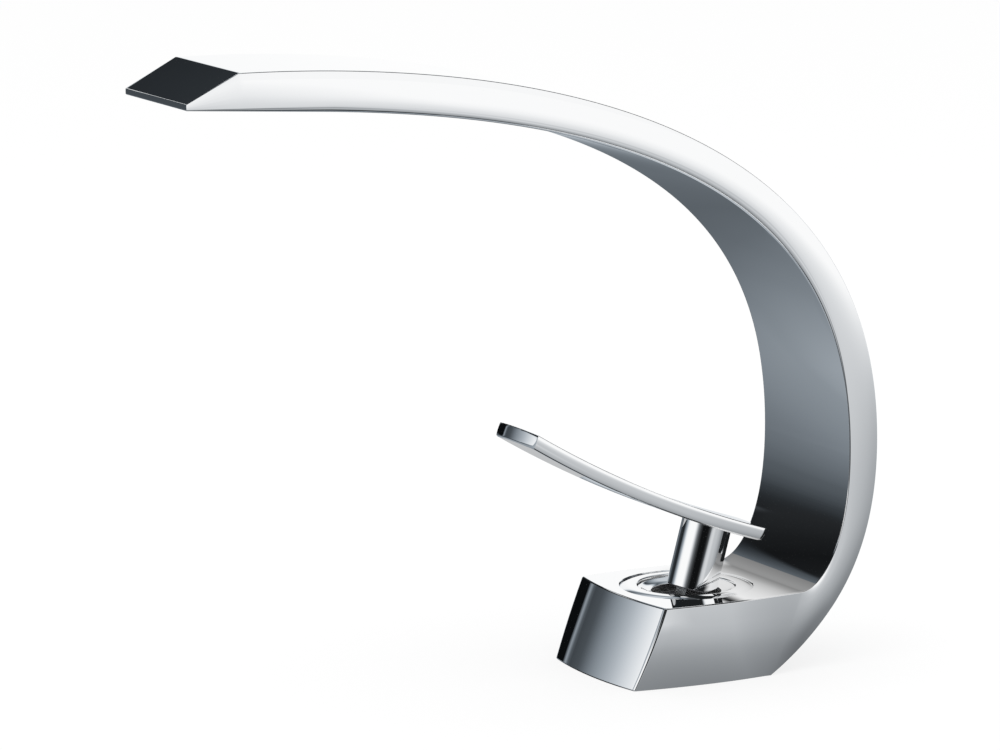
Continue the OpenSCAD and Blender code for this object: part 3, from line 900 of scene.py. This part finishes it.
# Every solid gets its finish, also those that a dressed piece stands in for
FINISHES = (
    (CHROME, ("tap_body",)),
    (CHROME_LEVER, ("lever_blade", "lever_post")),
    (CHROME_RING, ("cover_ring", "dished_cover")),
    (CHROME_OUTLET, ("aerator_housing",)),
    (RUBBER, ("deck_seal", "hot_inlet_seal", "cold_inlet_seal", "outlet_seal", "housing_o_ring",
              "aerator_washer")),
    (CERAMIC, ("fixed_disc", "sliding_disc")),
    (CARTRIDGE, ("cartridge_plate", "cartridge_housing", "glide_ring")),
    (CARRIER, ("disc_carrier", "swivel_guide")),
    (STEEL, ("pivot_pin", "post_screw", "grub_screw", "aerator_screen")),
    (NICKEL, ("lever_spindle", "clamp_ring")),
    (INSERT, ("aerator_insert",)),
)
for material, nodes in FINISHES:
    for node in nodes:
        frame["nodes"][node].data.materials.clear()
        frame["nodes"][node].data.materials.append(material)


# Studio, in metres

CAMERA_AT = Vector((1387.97, -810.19, 390.59)) * MM
LOOK_AT = Vector((0, -56.58, 96.46)) * MM
CAMERA_TURN = math.atan2(CAMERA_AT.y - LOOK_AT.y, CAMERA_AT.x - LOOK_AT.x)
FOCAL_PIXELS = 5349.0
PICTURE_PIXELS = 1000.0
SENSOR_W = 36.0
FLOOR_R = 6.0

# What polished metal sees of the studio. A list with negative places gives turns from the camera's
# side in degrees, anticlockwise from above, and a value at each. This one is the brightness of the
# walls: black behind the camera, white panels on both sides.
WALLS = [
    (-180, 1), (-168, 0.92), (-160, 0.75), (-152, 0.4), (-146, 0.16), (-140, 0.05), (-133, 0.01),
    (-114, 0.01), (-108, 0.1), (-102, 0.27), (-96, 0.45), (-90, 0.78), (-84, 0.96), (-76, 1),
    (-50, 1), (-44, 0.8), (-38, 0.42), (-32, 0.16), (-24, 0.05), (-14, 0.006), (8, 0.006),
    (16, 0.03), (24, 0.16), (32, 0.42), (40, 0.72), (48, 0.97), (92, 1), (112, 0.6), (135, 0.4),
    (152, 0.6), (165, 0.92), (180, 1),
]
# A faint light stands on the horizon to the left and fades upwards
MIST_TURN = [(-180, 0), (-150, 0), (-138, 1), (-112, 1), (-102, 0), (180, 0)]
MIST_RISE = [(0, 0.044), (0.22, 0.028), (0.45, 0.018), (0.75, 0.011), (1, 0.01)]
MIST_TOP = 0.16
# A graded panel on the left, which the leaning front face sees, and its slanting lower edge
LEFT_PANEL = [
    (-180, 0.9), (-160, 0.3), (-150, 0.004), (-134.2, 0.004), (-133.6, 0.3), (-132.9, 0.28),
    (-132.0, 0.055), (-126, 0.08), (-123, 0.15), (-120, 0.235), (-117, 0.31), (-114, 0.39),
    (-111, 0.48), (-108, 0.59), (-105, 0.71), (-101, 0.86), (-96, 1),
]
PANEL_EDGE = [(-180, 0.9), (-150, 0.9), (-146, 0), (-138, 0.01), (-133, 0.045), (-120, 0.115),
              (-100, 0.2), (-94, 0.9)]
PANEL_SOFT = 0.012
# The dark ceiling starts low over the left and higher elsewhere, and fades in over a height
CEILING_START = [(-180, 0.34), (-172, 0.33), (-165, 0.27), (-150, 0.19), (-122, 0.18), (-112, 0.29),
                 (150, 0.29), (172, 0.33), (180, 0.34)]
CEILING_FADE = [(-180, 0.16), (-172, 0.16), (-164, 0.06), (150, 0.06), (172, 0.16), (180, 0.16)]
CEILING_DARK = 0.014
# It glows behind the tap and ends at a soft light overhead
GLOW_TURN = [(-180, 1.6), (-166, 1.6), (-160, 0.7), (-150, 0.5), (-138, 0.3), (-128, 0.1),
             (-120, 0), (125, 0), (150, 0.8), (180, 1.6)]
GLOW_HEIGHTS = (0.37, 0.95)
GLOW_LIMIT = 0.6
OVERHEAD_HEIGHTS = (0.955, 0.99)
OVERHEAD_LIGHT = 0.9

# The floor close to the tap by turn, and what is left of it by distance, in parts of NEAR_REACH; the
# second is a painted shadow of the tap, darkest right next to it
NEAR_FLOOR = [
    (-180, 0.16), (-176, 0.15), (-165, 0.14), (-157, 0.155), (-147, 0.2), (-138, 0.25), (-105, 0.3),
    (-90, 0.3), (-76, 0.12), (-48, 0.12), (-32, 0.2), (-15, 0.05), (8, 0.05), (18, 0.3), (27, 0.62),
    (36, 0.7), (48, 0.76), (90, 0.72), (120, 0.45), (140, 0.35), (155, 0.6), (165, 0.9),
    (176.5, 0.9), (179, 0.2), (180, 0.16),
]
NEAR_PAINTED_SHADOW = [(0, 0.05), (0.2, 0.1), (0.36, 0.45), (0.52, 0.85), (0.8, 1)]
NEAR_REACH = 0.25
# The floor beside the tap on the right, by distance and by turn, and how far round it goes; by
# distance it is painted dark close to the tap as the tap's shadow
BESIDE = [
    (0, 0.12), (0.0133, 0.205), (0.0333, 0.302), (0.0467, 0.366), (0.06, 0.434), (0.0767, 0.485),
    (0.1, 0.52), (0.13, 0.535), (0.173, 0.56), (0.233, 0.57), (0.333, 0.6), (0.533, 0.66), (1, 0.8),
]
BESIDE_REACH = 1.5
BESIDE_TURN = [(-180, 1), (58, 1), (68, 0.84), (74, 0.7), (80, 0.48), (96, 0.48), (118, 1),
               (180, 1)]
RIGHT_CLOSE = [(-180, 0), (-30, 0), (-15, 1), (105, 1), (125, 0), (180, 0)]
RIGHT_AWAY = [(-180, 0), (36, 0), (46, 1), (105, 1), (125, 0), (180, 0)]
RIGHT_CHANGE = (0.11, 0.2)
# The left side, where a pale sheet lies round the tap up to an edge at these distances
LEFT_SIDE = [(-180, 1), (-110, 1), (-90, 0), (150, 0), (170, 1), (180, 1)]
SHEET = [(-180, 0.66), (-172, 0.62), (-165, 0.5), (-150, 0.36), (-120, 0.28), (-90, 0.2), (150, 0.3),
         (180, 0.66)]
SHEET_EDGE = [(-180, 0.2), (-172, 0.195), (-166, 0.125), (-90, 0.12), (165, 0.14), (180, 0.2)]
SHEET_SOFT = 0.035
# Past the sheet's edge the floor is lighter, where the spout's inner face shows it
LIFT = [(0.24, 1), (0.32, 1.65), (0.36, 1.46), (0.4, 1.23), (0.44, 1.05), (0.49, 0.95), (0.56, 0.86),
        (0.65, 0.9), (0.8, 1)]
LIFT_REACH = 0.5
# The floor far from the tap, and the distances between which it takes over, the second one halved
FAR_FLOOR = [
    (-180, 1), (-165, 0.9), (-152, 0.5), (-144, 0.24), (-136, 0.17), (-125, 0.1), (-119.5, 0.06),
    (-115, 0.06), (-108, 0.14), (-98, 0.4), (-86, 0.95), (-48, 1), (-34, 0.3), (-20, 0.03),
    (14, 0.03), (22, 0.1), (30, 0.4), (38, 0.75), (48, 1), (95, 1), (115, 0.55), (135, 0.35),
    (152, 0.55), (165, 0.92), (180, 1),
]
FAR_START = [(-180, 0.4), (-150, 0.6), (-132, 0.2), (-112, 0.2), (-100, 0.3), (140, 0.3), (160, 0.4),
             (180, 0.4)]
FAR_END = [(-180, 0.8), (-150, 0.7), (-132, 0.3), (-112, 0.3), (-100, 0.6), (140, 0.6), (160, 0.8),
           (180, 0.8)]
# Towards the left the floor darkens with the distance, in parts of FALL_REACH
FALL_TURN = [(-180, 0), (-150, 0), (-138, 1), (-114, 1), (-104, 0), (180, 0)]
FALL = [(0.07, 0.29), (0.0865, 0.243), (0.1, 0.2), (0.1135, 0.171), (0.1365, 0.14),
        (0.1765, 0.107), (0.3065, 0.081), (0.5, 0.065), (1, 0.05)]
FALL_REACH = 3.0
FALL_START = (0.195, 0.215)

# The studio's greys are a little blue, most of all on the left, and its white is neutral
BLUE_CAST = 0.16
BLUE_TURN = [(-180, 1), (-95, 1), (-70, 0.45), (100, 0.45), (150, 1), (180, 1)]


def split(tree, vector):
    """The parts of a vector, as X, Y and Z."""
    node = tree.nodes.new("ShaderNodeSeparateXYZ")
    tree.links.new(vector, node.inputs[0])
    return node.outputs


def bearing(tree, parts):
    """Turn from the camera's side, as 0 to 1 with that side at one half."""
    cos, sin = math.cos(CAMERA_TURN), math.sin(CAMERA_TURN)
    x = plus(tree, times(tree, parts["X"], cos), times(tree, parts["Y"], sin))
    y = minus(tree, times(tree, parts["Y"], cos), times(tree, parts["X"], sin))
    angle = math_node(tree, "ARCTAN2", y, x)
    return plus(tree, math_node(tree, "DIVIDE", angle, 2 * math.pi), 0.5)


def round_ramp(tree, angle, stops):
    """A ramp by turn, with its places in degrees."""
    return ramp(tree, angle, [((a + 180) / 360, v) for a, v in stops])


def reach_ramp(tree, value, reach, stops):
    """A ramp by distance or height, with its places in parts of the reach."""
    return ramp(tree, math_node(tree, "DIVIDE", value, reach, clamp=True), stops)


def blend(tree, share, first, second):
    """Grey value that goes from the first to the second as the share goes from 0 to 1."""
    node = tree.nodes.new("ShaderNodeMix")
    node.data_type = "FLOAT"
    tree.links.new(share, node.inputs["Factor"])
    feed(tree, node.inputs[2], first)
    feed(tree, node.inputs[3], second)
    return node.outputs[0]


def between(tree, value, low, high):
    """0 below low, 1 above high, and an even curve in between."""
    node = tree.nodes.new("ShaderNodeMapRange")
    node.interpolation_type = "SMOOTHSTEP"
    for slot, given in enumerate((value, low, high)):
        feed(tree, node.inputs[slot], given)
    return node.outputs[0]


def ends(tree, value, low, high):
    """1 below low, 0 above high."""
    return minus(tree, 1.0, between(tree, value, low, high))


def cool(tree, level, angle):
    """The colour of a grey level, with the studio's blue cast."""
    cast = times(tree, minus(tree, 1.0, level), round_ramp(tree, angle, BLUE_TURN))
    colour = tree.nodes.new("ShaderNodeCombineColor")
    tree.links.new(level, colour.inputs["Green"])
    for part, change in (("Red", -BLUE_CAST), ("Blue", BLUE_CAST)):
        factor = plus(tree, times(tree, cast, change), 1.0)
        tree.links.new(times(tree, level, factor), colour.inputs[part])
    return colour.outputs["Color"]


def light(tree, kind, colour):
    """An even light, or the world's background, in a colour of three parts or of another node."""
    node = tree.nodes.new(kind)
    if isinstance(colour, tuple):
        node.inputs["Color"].default_value = (*colour, 1)
    else:
        tree.links.new(colour, node.inputs["Color"])
    return node.outputs[0]


def mixed(tree, share, first, second):
    """Shader that goes from the first to the second as the share goes from 0 to 1."""
    node = tree.nodes.new("ShaderNodeMixShader")
    for slot, given in enumerate((share, first, second)):
        tree.links.new(given, node.inputs[slot])
    return node.outputs[0]


def wall_level(tree, angle, height):
    """Brightness of the walls with the mist and the left panel."""
    mist = times(tree, round_ramp(tree, angle, MIST_TURN),
                 reach_ramp(tree, height, MIST_TOP, MIST_RISE))
    walls = math_node(tree, "MAXIMUM", round_ramp(tree, angle, WALLS), mist)
    over_edge = minus(tree, height, round_ramp(tree, angle, PANEL_EDGE))
    return blend(tree, between(tree, over_edge, -PANEL_SOFT, PANEL_SOFT), walls,
                 round_ramp(tree, angle, LEFT_PANEL))


def ceiling_level(tree, angle, height):
    """Brightness of the ceiling with its glow and the light overhead."""
    glow = times(tree, between(tree, height, *GLOW_HEIGHTS), round_ramp(tree, angle, GLOW_TURN))
    dark = plus(tree, math_node(tree, "MINIMUM", glow, GLOW_LIMIT), CEILING_DARK)
    return blend(tree, between(tree, height, *OVERHEAD_HEIGHTS), dark, OVERHEAD_LIGHT)


def world():
    """White light all round, and the studio for the rays that polished metal sends out."""
    studio = bpy.data.worlds.new("studio")
    bpy.context.scene.world = studio
    studio.use_nodes = True
    tree = studio.node_tree
    tree.nodes.clear()
    parts = split(tree, tree.nodes.new("ShaderNodeTexCoord").outputs["Generated"])
    angle, height = bearing(tree, parts), parts["Z"]
    above = minus(tree, height, round_ramp(tree, angle, CEILING_START))
    faded = math_node(tree, "DIVIDE", above, round_ramp(tree, angle, CEILING_FADE))
    room = blend(tree, between(tree, faded, 0.0, 1.0), wall_level(tree, angle, height),
                 ceiling_level(tree, angle, height))
    seen = light(tree, "ShaderNodeBackground", cool(tree, room, angle))
    plain = light(tree, "ShaderNodeBackground", (1, 1, 1))
    path = tree.nodes.new("ShaderNodeLightPath").outputs
    show(tree, mixed(tree, path["Is Glossy Ray"], plain, seen), "World")


def floor_level(tree, angle, away):
    """Brightness of the floor as polished metal sees it, by turn and distance, with a painted shadow
    of the tap that darkens it close to the tap.
    """
    # painted shadow: the floor close to the tap is darkened by distance
    close = times(tree, round_ramp(tree, angle, NEAR_FLOOR),
                  reach_ramp(tree, away, NEAR_REACH, NEAR_PAINTED_SHADOW))
    # painted shadow: beside the tap on the right the floor is darkest next to it
    beside = times(tree, round_ramp(tree, angle, BESIDE_TURN),
                   reach_ramp(tree, away, BESIDE_REACH, BESIDE))
    right = blend(tree, between(tree, away, *RIGHT_CHANGE), round_ramp(tree, angle, RIGHT_CLOSE),
                  round_ramp(tree, angle, RIGHT_AWAY))
    close = blend(tree, right, close, beside)
    left = round_ramp(tree, angle, LEFT_SIDE)
    lift = blend(tree, left, 1.0, reach_ramp(tree, away, LIFT_REACH, LIFT))
    past_edge = minus(tree, away, round_ramp(tree, angle, SHEET_EDGE))
    on_sheet = times(tree, left, ends(tree, past_edge, 0.0, SHEET_SOFT))
    close = blend(tree, on_sheet, times(tree, close, lift), round_ramp(tree, angle, SHEET))
    start = round_ramp(tree, angle, FAR_START)
    end = times(tree, round_ramp(tree, angle, FAR_END), 2.0)
    level = blend(tree, between(tree, away, start, end), close, round_ramp(tree, angle, FAR_FLOOR))
    leftward = times(tree, round_ramp(tree, angle, FALL_TURN), between(tree, away, *FALL_START))
    return blend(tree, leftward, level, reach_ramp(tree, away, FALL_REACH, FALL))


def empty_material(piece, name):
    """Gives the piece a material without nodes; returns its tree."""
    material = bpy.data.materials.new(name)
    material.use_nodes = True
    material.node_tree.nodes.clear()
    piece.data.materials.append(material)
    return material.node_tree


def show(tree, surface, kind="Material"):
    out = tree.nodes.new("ShaderNodeOutput" + kind)
    tree.links.new(surface, out.inputs["Surface"])


def floor():
    """A pale floor for the camera and the shadow; polished metal sees the studio's floor in it, which
    glows and carries a painted shadow of the tap.
    """
    bm = bmesh.new()
    bmesh.ops.create_circle(bm, cap_ends=True, segments=128, radius=FLOOR_R)
    plane = new_object("floor", bm)
    tree = empty_material(plane, "pale_floor")
    where = own_place(tree)
    angle = bearing(tree, split(tree, where))
    away = tree.nodes.new("ShaderNodeVectorMath")
    away.operation = "LENGTH"
    tree.links.new(where, away.inputs[0])
    level = floor_level(tree, angle, away.outputs["Value"])
    # what polished metal sees: a glowing floor, with the tap's painted shadow close to it
    mirrored = light(tree, "ShaderNodeEmission", cool(tree, level, angle))
    white = light(tree, "ShaderNodeEmission", (1, 1, 1))
    paper = tree.nodes.new("ShaderNodeBsdfDiffuse")
    paper.inputs["Color"].default_value = (0.9, 0.9, 0.9, 1)
    path = tree.nodes.new("ShaderNodeLightPath").outputs
    whitened = times(tree, path["Is Camera Ray"], 0.8)
    pale = mixed(tree, whitened, paper.outputs[0], white)
    show(tree, mixed(tree, path["Is Glossy Ray"], pale, mirrored))


def hang_card(name, corners):
    """A card near the tap, seen only by the polished metal; gives the tree of its material."""
    bm = bmesh.new()
    bm.faces.new([bm.verts.new(corner) for corner in corners])
    card = new_object(name, bm)
    card.visible_camera = False
    card.visible_diffuse = False
    card.visible_shadow = False
    card.visible_transmission = False
    return empty_material(card, name)


def light_card(tree, colour, covers=()):
    """The card shines where every one of the covers is 1, and is clear where one is 0."""
    surface = light(tree, "ShaderNodeEmission", colour)
    if covers:
        cover = covers[0]
        for more in covers[1:]:
            cover = times(tree, cover, more)
        clear = tree.nodes.new("ShaderNodeBsdfTransparent").outputs[0]
        surface = mixed(tree, cover, clear, surface)
    show(tree, surface)


def one_sided(tree):
    """1 on the card's front and 0 on its back."""
    back = tree.nodes.new("ShaderNodeNewGeometry").outputs["Backfacing"]
    return minus(tree, 1.0, back)


def dark_cards():
    """Two cards hang before the arch's foot, with soft edges, the second one lower and farther out."""
    stops = ((0.376, 0.026), (0.44, 0.018), (0.52, 0.012), (0.64, 0.008), (0.8, 0.011), (0.9, 0.022))
    low, top, front, back, scale = 0.038, 0.13, -0.06, 0.035, 8.0
    for name, left in (("dark_card", -0.1), ("dark_skirt", -0.12)):
        tree = hang_card(name, (
            (left, front, low), (left, back, low), (left, back, top), (left, front, top)))
        place = split(tree, own_place(tree))
        colour = ramp(tree, times(tree, place["Z"], scale),
                      [(spot, (0.9 * grey, grey, 1.1 * grey)) for spot, grey in stops])
        covers = [between(tree, place["Y"], -0.052, -0.042)]
        if name == "dark_card":
            # the lower edge climbs towards the back
            past = math_node(tree, "MAXIMUM", plus(tree, place["Y"], 0.006), 0.0)
            over_edge = minus(tree, place["Z"], times(tree, past, 0.7))
            covers += [between(tree, over_edge, 0.049, 0.055),
                       ends(tree, place["Y"], 0.006, 0.016), ends(tree, place["Z"], 0.102, 0.125)]
        else:
            covers += [between(tree, place["Z"], 0.0455, 0.058),
                       ends(tree, place["Y"], -0.0095, -0.008), ends(tree, place["Z"], 0.064, 0.068)]
        light_card(tree, colour, covers)


def shade_fade_card():
    """Lies just above the block's top, faces it, and gives it, as the metal shows it, its fade from
    white to grey towards the arch's foot: painted shade.
    """
    height, left, right, front, back, scale = 0.0268, -0.036, 0.03, 0.012, 0.0405, 20.0
    tree = hang_card("shade_fade_card", (
        (left, front, height), (left, back, height), (right, back, height), (right, front, height)))
    place = split(tree, own_place(tree))
    # painted shade: the card greys towards the arch's foot
    stops = ((0.014, 0.92), (0.02, 0.84), (0.026, 0.75), (0.029, 0.68), (0.032, 0.59),
             (0.034, 0.51), (0.0355, 0.42), (0.037, 0.34), (0.0385, 0.27), (0.0405, 0.2))
    level = ramp(tree, times(tree, place["Y"], scale), [(y * scale, grey) for y, grey in stops])
    light_card(tree, level, [one_sided(tree), between(tree, place["X"], -0.034, -0.022),
                             between(tree, place["Y"], 0.0135, 0.0195)])


def post_dark_reflection_card():
    """Stands behind the post and keeps the arch's foot out of the post's right edge: a dark sheet,
    seen only in the metal, that paints a dark reflection there.
    """
    behind, low, top, left, right = 0.033, 0.0269, 0.038, -0.032, 0.01
    tree = hang_card("post_dark_reflection_card", (
        (left, behind, low), (right, behind, low), (right, behind, top), (left, behind, top)))
    place = split(tree, own_place(tree))
    # painted dark reflection: a near-black card that the post's right edge shows
    light_card(tree, (0.011, 0.012, 0.013), [
        one_sided(tree), ends(tree, place["X"], 0.007, 0.01), ends(tree, place["Z"], 0.0355, 0.0375)])


def white_card():
    """A strip that lights the lever's underside."""
    left, front, back = -0.045, -0.038, -0.005
    tree = hang_card("white_card", (
        (left, front, 0.055), (left, back, 0.043), (left, back, 0.0515), (left, front, 0.067)))
    light_card(tree, (0.52, 0.53, 0.54))


def aim(name, data, place):
    """Puts a lamp or a camera at its place and turns it to the tap."""
    aimed = bpy.data.objects.new(name, data)
    bpy.context.scene.collection.objects.link(aimed)
    aimed.location = place
    aimed.rotation_euler = (LOOK_AT - place).to_track_quat("-Z", "Y").to_euler()
    return aimed


def lamp(name, place, size, power):
    data = bpy.data.lights.new(name, "AREA")
    data.shape = "DISK"
    data.size = size
    data.energy = power
    aim(name, data, Vector(place)).visible_glossy = False


def camera():
    data = bpy.data.cameras.new("camera")
    data.sensor_width = SENSOR_W
    data.lens = FOCAL_PIXELS * SENSOR_W / PICTURE_PIXELS
    data.clip_start = 0.01
    data.clip_end = 50
    bpy.context.scene.camera = aim("camera", data, CAMERA_AT)


world()
floor()
dark_cards()
shade_fade_card()
post_dark_reflection_card()
white_card()
lamp("overhead", (0.2, -0.3, 1.6), 1.6, 9.0)
camera()
bpy.context.scene.view_settings.view_transform = "Standard"
